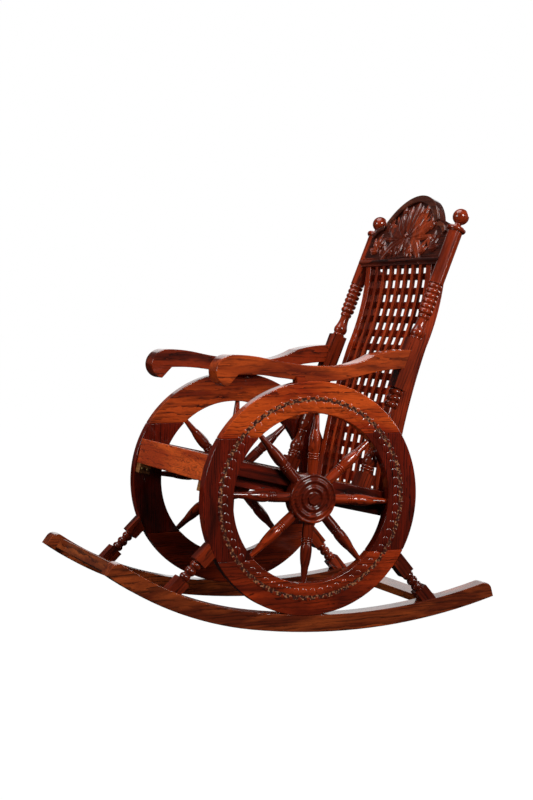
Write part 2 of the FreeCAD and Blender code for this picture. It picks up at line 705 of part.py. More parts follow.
def lattice():
    """Two curved stiles, upright slats between them, and level cross slats nailed on behind."""
    half, stile_w = size("back_half_width"), size("stile_width")
    for side, sign in SIDES.items():
        body = new_body(f"back_stile_{side}")
        curved_strip(body, stile_w, dim(0), size("stile_depth"))
        ease(body)
        keep(put(body, (half - stile_w / 2) * sign))
    inner = place("back_inner", half * 2 - stile_w * 2)
    thick, count = size("slat_thick"), size("upright_slat_count")
    step = (inner + size("slat_width")) / (count + 1)
    body = new_body("back_upright_slats")
    first, sketch = curved_strip(body, size("slat_width"), dim(2), thick + 2,
                                 -step * (count - 1) / 2)
    row = body.newObject("PartDesign::LinearPattern", "Row")
    row.Originals = [first]
    row.Direction = (sketch, ["N_Axis"])
    bind(row, "Length", step * (count - 1))
    bind(row, "Occurrences", count)
    body.Tip = row
    keep(body)

    tall, deep = size("cross_slat_height"), size("cross_slat_thick")
    rail_top = back_foot[1] + size("bottom_rail_height") + 4
    rows = int(sheet.get("cross_slat_count"))
    gap = place("row_gap", (crest_low_z - rail_top - tall * rows) / (rows + 1))
    slats = []
    for index in range(rows):
        z = place(f"row_{index}_z", rail_top + gap * (index + 1) + tall * (index + 0.5))
        y, slope = back_front(f"row_{index}", z)
        box = doc.addObject("Part::Box", f"cross_slat_{index + 1}")
        for prop, number in (("Length", inner), ("Width", deep), ("Height", tall)):
            bind(box, prop, number)
        back_by = thick + 2.7
        half_t = tall / 2
        put(box, -inner / 2, y + back_by - half_t * sine(slope), z - half_t * cosine(slope), slope)
        slats.append(box)
    group = doc.addObject("Part::Compound", "back_cross_slats")
    group.Links = slats
    keep(group)

    z = place("bottom_rail_z", back_foot[1] + 4 + size("bottom_rail_height") / 2)
    y, slope = back_front("bottom_rail", z)
    half_t = size("bottom_rail_height") / 2
    board("back_bottom_rail", inner, 20, size("bottom_rail_height"), 0,
          y + thick + 2.4 - half_t * sine(slope), z - half_t * cosine(slope), slope, 1)


def crest(posts):
    """A moulded rail and, standing on it, the carved panel with round shoulders and a high arch."""
    span = size("wheel_gap") - size("post_side")
    rail_h, rail_t = size("crest_rail_height"), size("crest_rail_thick")
    spot = (back_top[0] + size("crest_forward"), crest_low_z)
    rail = new_body("crest_rail_blank")
    sketch = new_sketch(rail, "YZ_Plane")
    front, rear = -rail_t / 2, rail_t / 2
    outline(sketch, (front + 4, 0), [
        (rear, 0), (rear, rail_h), (front + 4, rail_h), (front + 4, rail_h - 5, 2.6, 1),
        (front + 4, 5, 8.2, 1), (front + 4, 0, 2.6, 1)][:-1])
    pad(rail, sketch, span)
    put(rail, 0, *spot, size("post_lean"))
    panel = new_body("crest_panel_blank")
    sketch = new_sketch(panel, "XZ_Plane")
    half, arch, radius = span / 2, size("crest_arch_half"), size("crest_arch_radius")
    peak = rail_h + size("crest_height")
    shoulder = rail_h + size("crest_shoulder")
    spring = place("arch_spring", peak - radius + root(radius * radius - arch * arch))
    outline(sketch, (-half, rail_h), [
        (half, rail_h), (half, shoulder), (arch + 3, spring - 8, 74, 1), (arch, spring),
        (0, peak, radius, 1), (-arch, spring, radius, 1), (-arch - 3, spring - 8),
        (-half, shoulder, 74, 1)])
    pad(panel, sketch, size("crest_thick"))
    put(panel, 0, *spot, size("post_lean"))
    for name, blank in (("crest_rail", rail), ("crest_panel", panel)):
        inside = blank
        for side, stick in posts.items():
            cut = doc.addObject("Part::Cut", f"{name}_to_{side}")
            cut.Base = inside
            cut.Tool = stick
            inside = cut
        inside.Label = name
        keep(inside)


def corner_blocks():
    """A small block under each end of the front rail, held to the wheel by two round-head screws."""
    deep, high = dim(32), dim(26)
    blocks, screws = [], []
    for side, sign in SIDES.items():
        y, z = seat_point(dim(2), -size("front_rail_height") - high)
        box = doc.addObject("Part::Box", f"corner_box_{side}")
        for prop, number in (("Length", 30), ("Width", deep), ("Height", high)):
            bind(box, prop, number)
        put(box, size("wheel_gap") / 2 * sign - 15 - 15 * sign, y, z, size("seat_pitch"))
        cut = box
        for index in range(2):
            hy, hz = seat_point(dim(10) + index * 16, -size("front_rail_height") - high / 2)
            name = f"{side}_{index + 1}"
            screw = new_body(f"screw_{name}")
            sketch = new_sketch(screw, "XZ_Plane")
            outline(sketch, (0, 0), [(2, 0), (2, 30), (4.5, 30), (4.5, 31.5), (2.5, 33), (0, 33)])
            revolve(screw, sketch)
            screw.Placement = FreeCAD.Placement(V(), FreeCAD.Rotation(V(0, -1, 0), 90 * sign))
            put(screw, size("wheel_gap") / 2 * sign, hy, hz)
            bore = doc.addObject("Part::Cylinder", f"screw_hole_{name}")
            bind(bore, "Radius", 2)
            bind(bore, "Height", 60)
            bore.Placement = FreeCAD.Placement(V(), FreeCAD.Rotation(V(0, -1, 0), 90 * sign))
            put(bore, size("wheel_gap") / 2 * sign, hy, hz)
            drilled = doc.addObject("Part::Cut", f"corner_drilled_{name}")
            drilled.Base = cut
            drilled.Tool = bore
            cut = drilled
            screws.append(screw)
        blocks.append(cut)
    for name, links in (("corner_blocks", blocks), ("corner_screws", screws)):
        group = doc.addObject("Part::Compound", name)
        group.Links = links
        keep(group)


# ---------------------------------------------------------------- build and write
for side in SIDES:
    rocker(side)
    rim(side)
    hub(side)
    for number in range(8):
        spoke(number, side)
    strut("front", side)
    strut("rear", side)
    arm(side)
stretchers()
seat()
corner_blocks()
lattice()
crest({side: post(side) for side in SIDES})

doc.recompute()
faults = [item.Name for item in doc.Objects if {"Invalid", "Error"} & set(item.State)]
faults += [item.Label for item in PARTS if item.Shape.isNull() or not item.Shape.isValid()]
if faults:
    raise RuntimeError(f"failed: {faults}")
os.makedirs("parts", exist_ok=True)
for item in PARTS:
    item.Shape.exportStep(f"parts/{item.Label}.step")
print(len(PARTS), "parts written")
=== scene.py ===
import math
import random

import bmesh
import bpy
from mathutils import Euler, Matrix, Vector


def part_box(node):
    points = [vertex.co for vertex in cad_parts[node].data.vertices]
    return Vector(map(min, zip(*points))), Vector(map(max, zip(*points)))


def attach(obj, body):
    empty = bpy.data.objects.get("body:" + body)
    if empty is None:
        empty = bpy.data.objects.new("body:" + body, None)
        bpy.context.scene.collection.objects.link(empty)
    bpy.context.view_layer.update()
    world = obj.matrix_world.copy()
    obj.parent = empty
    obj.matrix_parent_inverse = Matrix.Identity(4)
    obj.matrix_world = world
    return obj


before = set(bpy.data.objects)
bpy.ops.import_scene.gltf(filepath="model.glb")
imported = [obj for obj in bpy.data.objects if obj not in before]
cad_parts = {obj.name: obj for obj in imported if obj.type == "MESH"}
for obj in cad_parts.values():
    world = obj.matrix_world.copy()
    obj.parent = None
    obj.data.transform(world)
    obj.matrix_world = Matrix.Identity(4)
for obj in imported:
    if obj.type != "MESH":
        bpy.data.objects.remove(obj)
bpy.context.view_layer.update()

# ---------------------------------------------------------------- rockers
# Two long rockers, each sawn from one thick plank of dark rosewood and rounded over at the nose.
# They are varnished to a high gloss; the grain runs from front to back.
SIDES = {"left": 1, "right": -1}
rng = random.Random(11)


def grain_group():
    """Rosewood figure: growth rings about a far pith, dark veins, cloudy tone and fine pores."""
    group = bpy.data.node_groups.new("Rosewood figure", "ShaderNodeTree")
    for name, kind in (("Vector", "NodeSocketVector"), ("Light", "NodeSocketColor"),
                       ("Dark", "NodeSocketColor"), ("Vein", "NodeSocketColor"),
                       ("Ring pitch", "NodeSocketFloat"), ("Swirl", "NodeSocketFloat")):
        group.interface.new_socket(name, in_out="INPUT", socket_type=kind)
    for name, kind in (("Color", "NodeSocketColor"), ("Roughness", "NodeSocketFloat"),
                       ("Height", "NodeSocketFloat")):
        group.interface.new_socket(name, in_out="OUTPUT", socket_type=kind)
    node, link = group.nodes.new, group.links.new
    source, out = node("NodeGroupInput"), node("NodeGroupOutput")

    def mapped(scale):
        step = node("ShaderNodeVectorMath")
        step.operation = "MULTIPLY"
        step.inputs[1].default_value = scale
        link(source.outputs["Vector"], step.inputs[0])
        return step.outputs[0]

    def ramp(value, *stops):
        item = node("ShaderNodeValToRGB")
        for element, position in zip(item.color_ramp.elements, stops):
            element.position = position
        link(value, item.inputs[0])
        return item.outputs[0]

    cloud = node("ShaderNodeTexNoise")
    cloud.inputs["Scale"].default_value = 1.0
    cloud.inputs["Detail"].default_value = 3.0
    cloud.inputs["Distortion"].default_value = 1.2
    link(mapped((13, 13, 3.2)), cloud.inputs["Vector"])
    rings = node("ShaderNodeTexWave")
    rings.wave_type, rings.rings_direction = "RINGS", "Z"
    rings.wave_profile = "SAW"
    rings.inputs["Detail"].default_value = 3.0
    rings.inputs["Detail Scale"].default_value = 1.4
    link(mapped((10, 10, 2.2)), rings.inputs["Vector"])
    link(source.outputs["Ring pitch"], rings.inputs["Scale"])
    link(source.outputs["Swirl"], rings.inputs["Distortion"])
    streak = node("ShaderNodeTexNoise")
    streak.inputs["Scale"].default_value = 1.0
    streak.inputs["Detail"].default_value = 4.0
    streak.inputs["Distortion"].default_value = 0.4
    link(mapped((170, 170, 7)), streak.inputs["Vector"])
    pores = node("ShaderNodeTexNoise")
    pores.inputs["Scale"].default_value = 1.0
    pores.inputs["Detail"].default_value = 2.0
    link(mapped((1100, 1100, 55)), pores.inputs["Vector"])

    tone = node("ShaderNodeMix")
    tone.data_type = "RGBA"
    link(ramp(cloud.outputs[0], 0.39, 0.62), tone.inputs["Factor"])
    link(source.outputs["Dark"], tone.inputs["A"])
    link(source.outputs["Light"], tone.inputs["B"])
    veined = node("ShaderNodeMix")
    veined.data_type = "RGBA"
    vein = node("ShaderNodeMath")
    vein.operation = "MULTIPLY"
    link(ramp(rings.outputs["Fac"], 0.35, 1.0), vein.inputs[0])
    link(ramp(streak.outputs[0], 0.36, 0.62), vein.inputs[1])
    link(vein.outputs[0], veined.inputs["Factor"])
    link(tone.outputs["Result"], veined.inputs["A"])
    link(source.outputs["Vein"], veined.inputs["B"])
    porous = node("ShaderNodeMix")
    porous.data_type = "RGBA"
    flecks = node("ShaderNodeMath")
    flecks.operation = "MULTIPLY"
    flecks.inputs[1].default_value = 0.55
    link(ramp(pores.outputs[0], 0.56, 0.70), flecks.inputs[0])
    link(flecks.outputs[0], porous.inputs["Factor"])
    link(veined.outputs["Result"], porous.inputs["A"])
    link(source.outputs["Vein"], porous.inputs["B"])
    link(porous.outputs["Result"], out.inputs["Color"])
    rough = node("ShaderNodeMapRange")
    rough.inputs["To Min"].default_value = 0.30
    rough.inputs["To Max"].default_value = 0.46
    link(streak.outputs[0], rough.inputs["Value"])
    link(rough.outputs["Result"], out.inputs["Roughness"])
    sunk = node("ShaderNodeMath")
    sunk.operation = "MULTIPLY_ADD"
    sunk.inputs[1].default_value = -0.6
    link(flecks.outputs[0], sunk.inputs[0])
    link(streak.outputs[0], sunk.inputs[2])
    link(sunk.outputs[0], out.inputs["Height"])
    return group


FIGURE = grain_group()
# Each tone is three colours: the light wood, the dark wood and the veins.
DEEP_RED = ((0.400, 0.038, 0.006), (0.125, 0.011, 0.003), (0.018, 0.002, 0.001))
ROCKER_BROWN = ((0.380, 0.068, 0.014), (0.120, 0.017, 0.005), (0.020, 0.004, 0.002))


def wood(name, centre, lean=0.0, across=False, tones=DEEP_RED, pitch=4.5, swirl=5.0):
    """Varnished rosewood whose grain leans back from upright by so many degrees, or runs across."""
    material = bpy.data.materials.new(name)
    material.use_nodes = True
    nodes, links = material.node_tree.nodes, material.node_tree.links
    shader = nodes["Principled BSDF"]
    place = nodes.new("ShaderNodeTexCoord")
    along = nodes.new("ShaderNodeMapping")
    along.vector_type = "TEXTURE"
    along.inputs["Location"].default_value = Vector(centre) + Vector(
        (rng.uniform(-0.12, -0.05), rng.uniform(0.05, 0.12), rng.uniform(-0.05, 0.05)))
    along.inputs["Rotation"].default_value = (
        (0, math.pi / 2, 0) if across else (-math.radians(lean), 0, 0))
    figure = nodes.new("ShaderNodeGroup")
    figure.node_tree = FIGURE
    for socket, colour in zip(("Light", "Dark", "Vein"), tones):
        figure.inputs[socket].default_value = (*colour, 1)
    figure.inputs["Ring pitch"].default_value = pitch
    figure.inputs["Swirl"].default_value = swirl
    bump = nodes.new("ShaderNodeBump")
    bump.inputs["Strength"].default_value = 0.12
    bump.inputs["Distance"].default_value = 0.0006
    links.new(place.outputs["Object"], along.inputs["Vector"])
    links.new(along.outputs["Vector"], figure.inputs["Vector"])
    links.new(figure.outputs["Color"], shader.inputs["Base Color"])
    links.new(figure.outputs["Roughness"], shader.inputs["Roughness"])
    links.new(figure.outputs["Height"], bump.inputs["Height"])
    links.new(bump.outputs["Normal"], shader.inputs["Normal"])
    shader.inputs["Specular IOR Level"].default_value = 0.06
    shader.inputs["Coat Weight"].default_value = 0.9
    shader.inputs["Coat Roughness"].default_value = 0.07
    return material


def finish_node(node, **look):
    """Give a CAD node its own cut of wood, with the figure set out from the node's middle."""
    low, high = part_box(node)
    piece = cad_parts[node]
    piece.data.materials.clear()
    piece.data.materials.append(wood(f"{node} wood", (low + high) / 2, **look))


for side in SIDES:
    finish_node(f"rocker_{side}", lean=90, tones=ROCKER_BROWN, pitch=5, swirl=7)

# ---------------------------------------------------------------- wheels
# Each side is a wheel of four sawn felloes glued at level butt joints, a turned hub and eight spokes.
# The grain follows each plank: front to back above and below, upright in the front and rear pieces.
AMBER = ((0.680, 0.090, 0.011), (0.340, 0.027, 0.004), (0.060, 0.006, 0.002))
CHESTNUT = ((0.540, 0.074, 0.011), (0.200, 0.021, 0.005), (0.026, 0.003, 0.002))
DARK_RED = ((0.190, 0.012, 0.003), (0.030, 0.003, 0.001), (0.007, 0.001, 0.001))
# The top felloes are painted lighter as painted light from above, the near one lighter than the far
# one, and the front and rear felloes are painted dark red as painted shade.
PAINTED_LIGHT_TOP_TONES = {"left": AMBER, "right": CHESTNUT}
for side in SIDES:
    for name, lean, tones in (("top", 90, PAINTED_LIGHT_TOP_TONES[side]), ("bottom", 90, DEEP_RED),
                              ("front", 0, DARK_RED), ("rear", 0, DARK_RED)):
        finish_node(f"{name}_felloe_{side}", lean=lean, tones=tones, pitch=7.5, swirl=6)
    finish_node(f"hub_{side}", lean=60, pitch=5, swirl=3)
    for index in range(8):
        finish_node(f"spoke_{side}_{index + 1}", lean=5 + 45 * index, pitch=5, swirl=3)

# ---------------------------------------------------------------- carved bands on the wheels
# The outer face of each rim carries a gouged band: a row of scallops, a row of pearls outside
# it, and a punched ground between them. The gouging is done once the felloes are glued, so each
# boss has the wood of the felloe under it.
hub_low, hub_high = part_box("hub_left")
AXLE = Vector((0, (hub_low.y + hub_high.y) / 2, (hub_low.z + hub_high.z) / 2))
SCALLOPS = 66
SCALLOP_RING, PEARL_RING, GROUND_IN, GROUND_OUT = 0.2475, 0.2638, 0.2540, 0.2660
SCALLOP_SIZE, PEARL_SIZE = (0.0112, 0.0117, 0.0011), (0.0062, 0.0064, 0.0012)
GROUND_PROUD, GROUND_THICK = 0.0004, 0.0003


def start_piece():
    """Go back to object mode with nothing selected, ready for the next piece."""
    if bpy.context.mode != "OBJECT":
        bpy.ops.object.mode_set(mode="OBJECT")
    bpy.ops.object.select_all(action="DESELECT")


def own(piece, name, material):
    """Name a finished piece, give it its material and body."""
    piece.name = piece.data.name = name
    piece.data.materials.clear()
    piece.data.materials.append(material)
    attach(piece, "root")


def settle():
    """Write the place, turn and size of what is selected into its mesh."""
    bpy.ops.object.transform_apply(location=True, rotation=True, scale=True)


def copies(pattern, places):
    """Copy one modelled shape to many places, each copy with its own mesh, and join them."""
    made = []
    for matrix in places:
        twin = pattern.copy()
        twin.data = pattern.data.copy()
        twin.matrix_world = matrix
        bpy.context.collection.objects.link(twin)
        made.append(twin)
    start_piece()
    for twin in made:
        twin.select_set(True)
    bpy.context.view_layer.objects.active = made[0]
    bpy.context.view_layer.update()
    settle()
    bpy.context.view_layer.update()
    bpy.ops.object.join()
    bpy.data.objects.remove(pattern)
    return bpy.context.view_layer.objects.active


def dome(width, length, rise):
    """A low carved boss: half an egg, flat at the back, standing towards +Z."""
    start_piece()
    bpy.ops.mesh.primitive_uv_sphere_add(segments=14, ring_count=8, radius=1)
    piece = bpy.context.object
    bpy.ops.object.mode_set(mode="EDIT")
    bpy.ops.mesh.select_all(action="SELECT")
    bpy.ops.mesh.bisect(plane_co=(0, 0, 0), plane_no=(0, 0, 1), clear_inner=True, use_fill=True)
    bpy.ops.mesh.select_all(action="SELECT")
    bpy.ops.transform.resize(value=(width, length, rise), center_override=(0, 0, 0))
    bpy.ops.object.mode_set(mode="OBJECT")
    bpy.ops.object.shade_smooth_by_angle(angle=math.radians(50))
    return piece


def ground_material():
    """Punched ground of the carving: matt and dark, pitted, with pale flecks."""
    material = bpy.data.materials.new("punched ground")
    material.use_nodes = True
    nodes, links = material.node_tree.nodes, material.node_tree.links
    shader = nodes["Principled BSDF"]
    place = nodes.new("ShaderNodeTexCoord")
    pits = nodes.new("ShaderNodeTexVoronoi")
    pits.inputs["Scale"].default_value = 520
    tone = nodes.new("ShaderNodeTexNoise")
    tone.inputs["Scale"].default_value = 160
    mix = nodes.new("ShaderNodeMix")
    mix.data_type = "RGBA"
    mix.inputs["A"].default_value = (0.050, 0.009, 0.005, 1)
    mix.inputs["B"].default_value = (0.460, 0.180, 0.080, 1)
    worn = nodes.new("ShaderNodeValToRGB")
    worn.color_ramp.elements[0].position = 0.50
    worn.color_ramp.elements[1].position = 0.63
    bump = nodes.new("ShaderNodeBump")
    bump.inputs["Strength"].default_value = 0.9
    bump.inputs["Distance"].default_value = 0.0009
    links.new(place.outputs["Object"], pits.inputs["Vector"])
    links.new(place.outputs["Object"], tone.inputs["Vector"])
    links.new(tone.outputs[0], worn.inputs[0])
    links.new(worn.outputs[0], mix.inputs["Factor"])
    links.new(mix.outputs["Result"], shader.inputs["Base Color"])
    links.new(pits.outputs["Distance"], bump.inputs["Height"])
    links.new(bump.outputs["Normal"], shader.inputs["Normal"])
    shader.inputs["Roughness"].default_value = 0.5
    shader.inputs["Specular IOR Level"].default_value = 0.1
    return material


GROUND = ground_material()


def ring_place(side, radius, angle):
    """Where a carved shape sits on a wheel's outer face, its +Z pointing outwards."""
    sign = SIDES[side]
    low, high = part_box(f"front_felloe_{side}")
    face = high.x if sign > 0 else low.x
    spot = Vector((face, AXLE.y + radius * math.sin(angle), AXLE.z + radius * math.cos(angle)))
    turn = Euler((-angle, 0, 0)).to_matrix() @ Euler((0, math.pi / 2 * sign, 0)).to_matrix()
    return Matrix.Translation(spot) @ turn.to_4x4()


def felloe_under(side, spot):
    """Which felloe of a rim lies under a place on its face."""
    if spot.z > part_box(f"top_felloe_{side}")[0].z:
        return "top"
    if spot.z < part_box(f"bottom_felloe_{side}")[1].z:
        return "bottom"
    return "front" if spot.y < AXLE.y else "rear"


for side, sign in SIDES.items():
    step = 2 * math.pi / SCALLOPS
    for kind, ring, shape, shift in (("scallops", SCALLOP_RING, SCALLOP_SIZE, 0),
                                     ("pearls", PEARL_RING, PEARL_SIZE, 0.5)):
        on_felloe = {}
        for index in range(SCALLOPS):
            spot = ring_place(side, ring, step * (index + shift))
            on_felloe.setdefault(felloe_under(side, spot.translation), []).append(spot)
        for felloe, spots in on_felloe.items():
            carved = copies(dome(*shape), spots)
            own(carved, f"rim_{kind}_{felloe}_{side}",
                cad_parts[f"{felloe}_felloe_{side}"].data.materials[0])
    low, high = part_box(f"front_felloe_{side}")
    face = high.x if sign > 0 else low.x
    start_piece()
    bpy.ops.mesh.primitive_circle_add(vertices=132, radius=GROUND_IN, fill_type="NOTHING",
                                      location=(face + GROUND_PROUD * sign, *AXLE.yz),
                                      rotation=(0, math.pi / 2, 0))
    band = bpy.context.object
    settle()
    bpy.ops.object.mode_set(mode="EDIT")
    bpy.ops.mesh.select_all(action="SELECT")
    bpy.ops.mesh.extrude_edges_move()
    bpy.ops.transform.resize(value=(1, GROUND_OUT / GROUND_IN, GROUND_OUT / GROUND_IN),
                             center_override=(face, *AXLE.yz))
    bpy.ops.object.mode_set(mode="OBJECT")
    thick = band.modifiers.new("thickness", "SOLIDIFY")
    thick.thickness = GROUND_THICK
    bpy.ops.object.modifier_apply(modifier=thick.name)
    bpy.ops.object.mode_set(mode="EDIT")
    bpy.ops.mesh.select_all(action="SELECT")
    bpy.ops.mesh.normals_make_consistent(inside=False)
    bpy.ops.object.mode_set(mode="OBJECT")
    own(band, f"rim_ground_{side}", GROUND)

# ---------------------------------------------------------------- struts and stretchers
# Square sticks with three turned beads brace each rim to its rocker, and two bars tie the rockers.
WINE = ((0.300, 0.030, 0.006), (0.090, 0.009, 0.003), (0.014, 0.002, 0.001))
RED_BROWN = ((0.420, 0.090, 0.018), (0.150, 0.026, 0.007), (0.026, 0.005, 0.002))
for side in SIDES:
    finish_node(f"front_strut_{side}", lean=46, tones=WINE)
    finish_node(f"rear_strut_{side}", lean=-40, tones=WINE)
finish_node("front_stretcher", across=True, tones=RED_BROWN)
finish_node("rear_stretcher", across=True, tones=RED_BROWN)

# ---------------------------------------------------------------- seat
# A pitched frame: a deep front rail with a lively figure, side rails and bearers, a flat rear
# rail, and slats laid over battens. The corner blocks are of paler wood.
ORANGE = ((0.900, 0.135, 0.018), (0.520, 0.056, 0.008), (0.110, 0.011, 0.003))
PALE_BROWN = ((0.40, 0.17, 0.05), (0.26, 0.09, 0.03), (0.09, 0.03, 0.01))
finish_node("front_rail", across=True, tones=ORANGE, pitch=7, swirl=16)
finish_node("rear_rail", across=True, tones=RED_BROWN)
# The side rails and bearers, behind the wheels, are painted dark red as painted shade.
for side in SIDES:
    finish_node(f"side_rail_{side}", lean=103.3, tones=DARK_RED)
    finish_node(f"seat_bearer_{side}", lean=103.3, tones=DARK_RED)
    finish_node(f"arm_pad_{side}", lean=90, tones=DEEP_RED)
finish_node("seat_slats", lean=103.3, tones=RED_BROWN)
finish_node("seat_battens", across=True, tones=RED_BROWN)
finish_node("corner_blocks", across=True, tones=PALE_BROWN)

# ---------------------------------------------------------------- corner screws
# Brass screws driven up through the corner blocks. They aren't polished and have dulled.
brass = bpy.data.materials.new("dull brass")
brass.use_nodes = True
tree = brass.node_tree
metal = tree.nodes["Principled BSDF"]
metal.inputs["Metallic"].default_value = 1
spots = tree.nodes.new("ShaderNodeTexNoise")
spots.inputs["Scale"].default_value = 300
coords = tree.nodes.new("ShaderNodeTexCoord")
stain = tree.nodes.new("ShaderNodeMix")
stain.data_type = "RGBA"
stain.inputs["A"].default_value = (0.34, 0.22, 0.08, 1)
stain.inputs["B"].default_value = (0.62, 0.45, 0.20, 1)
rough = tree.nodes.new("ShaderNodeMapRange")
rough.inputs["To Min"].default_value = 0.25
rough.inputs["To Max"].default_value = 0.5
tree.links.new(coords.outputs["Object"], spots.inputs["Vector"])
tree.links.new(spots.outputs[0], stain.inputs["Factor"])
tree.links.new(stain.outputs["Result"], metal.inputs["Base Color"])
tree.links.new(spots.outputs[0], rough.inputs["Value"])
tree.links.new(rough.outputs["Result"], metal.inputs["Roughness"])
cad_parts["corner_screws"].data.materials.clear()
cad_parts["corner_screws"].data.materials.append(brass)

# ---------------------------------------------------------------- posts and arms
# Tall turned posts, square where the arms meet them, each topped by a ball. The arms are sawn
# to a wave from thick stock and end in a plain round scroll.
# The near arm is painted lighter and the far arm darker, as painted light and painted shade.
for side in SIDES:
    finish_node(f"post_{side}", lean=22.7, tones=WINE, pitch=5, swirl=4)
    finish_node(f"arm_{side}", lean=92, tones=CHESTNUT if side == "left" else WINE, pitch=5, swirl=9)

# ---------------------------------------------------------------- back lattice
# Curved stiles hold a lattice: upright slats in front, level slats nailed on behind. The upright
# slats are redder; the level slats behind them are painted dark as painted shade.
SCARLET = ((0.480, 0.058, 0.012), (0.220, 0.022, 0.006), (0.050, 0.006, 0.003))
for side in SIDES:
    finish_node(f"back_stile_{side}", lean=15, tones=DEEP_RED, pitch=5, swirl=4)
finish_node("back_upright_slats", lean=15, tones=SCARLET, pitch=5, swirl=4)
# The level slats are painted dark red as painted shade behind the upright slats.
finish_node("back_cross_slats", across=True, tones=DARK_RED)
finish_node("back_bottom_rail", across=True, tones=DARK_RED)

# ---------------------------------------------------------------- crest
# A moulded rail and an arched panel carved with leaves that spread from one stem, inside a raised
# border. The sunk ground of the panel is painted nearly black as painted shade in its hollows and
# gaps, and the leaves are paler. The border is paler wood, greyed by a painted reflection.
RAIL_TONES = ((0.190, 0.026, 0.010), (0.045, 0.008, 0.005), (0.010, 0.003, 0.002))
# The panel's ground is painted dark as the painted shade between the leaves.
PAINTED_SHADE_GROUND_TONES = ((0.080, 0.013, 0.006), (0.035, 0.006, 0.003), (0.010, 0.003, 0.002))
LEAF_TONES = ((0.380, 0.050, 0.012), (0.110, 0.014, 0.005), (0.022, 0.004, 0.002))
# The border is paler wood, greyed by a painted reflection.
BORDER_AND_SHEEN_TONES = ((0.150, 0.034, 0.014), (0.065, 0.014, 0.007), (0.020, 0.005, 0.003))
finish_node("crest_rail", across=True, tones=RAIL_TONES, pitch=3)
finish_node("crest_panel", across=True, tones=PAINTED_SHADE_GROUND_TONES)
# The panel leans back; its arch peaks this far above its foot, and its face is this far forward.
LEAN, PEAK, FACE = math.radians(22.7), 0.214, -0.010
panel_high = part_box("crest_panel")[1]
CREST = Matrix.Translation((0, panel_high.y + FACE * math.cos(LEAN) - PEAK * math.sin(LEAN),
                            panel_high.z + FACE * math.sin(LEAN) - PEAK * math.cos(LEAN))
                           ) @ Matrix.Rotation(-LEAN, 4, "X")


def select_points(piece, chosen):
    """Select the points of a piece in edit mode that a test picks by their place."""
    bpy.ops.mesh.select_all(action="DESELECT")
    points = bmesh.from_edit_mesh(piece.data)
    for point in points.verts:
        point.select = bool(chosen(point.co))
    points.select_flush_mode()
    bmesh.update_edit_mesh(piece.data)


def leaf(length, width, rise, bend):
    """One carved leaf standing up from its stem: fluted, lobed at the edge, bent to one side."""
    start_piece()
    ribs, rows = 16, 14
    bpy.ops.mesh.primitive_uv_sphere_add(segments=ribs, ring_count=rows, radius=1)
    piece = bpy.context.object
    bpy.ops.object.mode_set(mode="EDIT")

    def in_flute(co):
        return abs(co.z) < 0.98 and round(math.atan2(co.y, co.x) * ribs / (2 * math.pi)) % 2 == 0

    def between_lobes(co):
        return abs(co.z) < 0.9 and round(math.acos(max(-1, min(1, co.z))) * rows / math.pi) % 3 == 0

    select_points(piece, in_flute)
    bpy.ops.transform.resize(value=(0.72, 0.38, 1), center_override=(0, 0, 0))
    select_points(piece, between_lobes)
    bpy.ops.transform.resize(value=(0.80, 0.92, 1), center_override=(0, 0, 0))
    bpy.ops.mesh.select_all(action="SELECT")
    bpy.ops.transform.translate(value=(0, 0, 1))
    for step in range(1, rows):
        level = step * 2 / rows
        select_points(piece, lambda co: co.z > level)
        narrow = 0.90 if step > rows / 2 else (1.10 if step < 3 else 0.985)
        bpy.ops.transform.resize(value=(narrow, 0.97, 1), center_override=(0, 0, 0))
    bpy.ops.mesh.select_all(action="SELECT")
    bpy.ops.transform.resize(value=(width / 2, rise, length / 2), center_override=(0, 0, 0))
    bends = 7
    for step in range(1, bends + 1):
        level = length * step / (bends + 1)
        select_points(piece, lambda co: co.z > level)
        bpy.ops.transform.rotate(value=bend / bends, orient_axis="Y", center_override=(0, 0, level))
    bpy.ops.object.mode_set(mode="OBJECT")
    smooth = piece.modifiers.new("smooth", "SUBSURF")
    smooth.levels = smooth.render_levels = 1
    bpy.ops.object.modifier_apply(modifier=smooth.name)
    bpy.ops.object.shade_smooth()
    return piece


def crest_spot(x, up, turn):
    """A place on the panel's front: across, up from the rail's foot, turned from upright."""
    return CREST @ Matrix.Translation((x, FACE, up)) @ Matrix.Rotation(turn, 4, "Y")


# Leaves round the stem: turn from upright, length, width, rise and bend of each pair.
STEM = 0.088
carved = []
for turn, length, width, rise, bend in (
        (0, 0.108, 0.064, 0.0160, 0), (30, 0.106, 0.060, 0.0150, 34),
        (60, 0.116, 0.056, 0.0140, 42), (86, 0.156, 0.054, 0.0130, 34),
        (110, 0.160, 0.046, 0.0120, -32), (138, 0.084, 0.038, 0.0110, -36),
        (163, 0.056, 0.034, 0.0110, -22)):
    for way in (1, -1) if turn else (1,):
        blade = leaf(length, width, rise, math.radians(bend) * way)
        carved.append(copies(blade, [crest_spot(0.006 * way, STEM, math.radians(turn) * way)]))
# Narrow leaves between them: turn, length and bend of each pair.
for turn, length, bend in ((14, 0.108, 24), (44, 0.104, 30), (73, 0.130, 34), (98, 0.160, 16),
                           (124, 0.110, -26), (150, 0.068, -24)):
    for way in (1, -1):
        blade = leaf(length, 0.024, 0.0095, math.radians(bend) * way)
        carved.append(copies(blade, [crest_spot(0, STEM, math.radians(turn) * way)]))
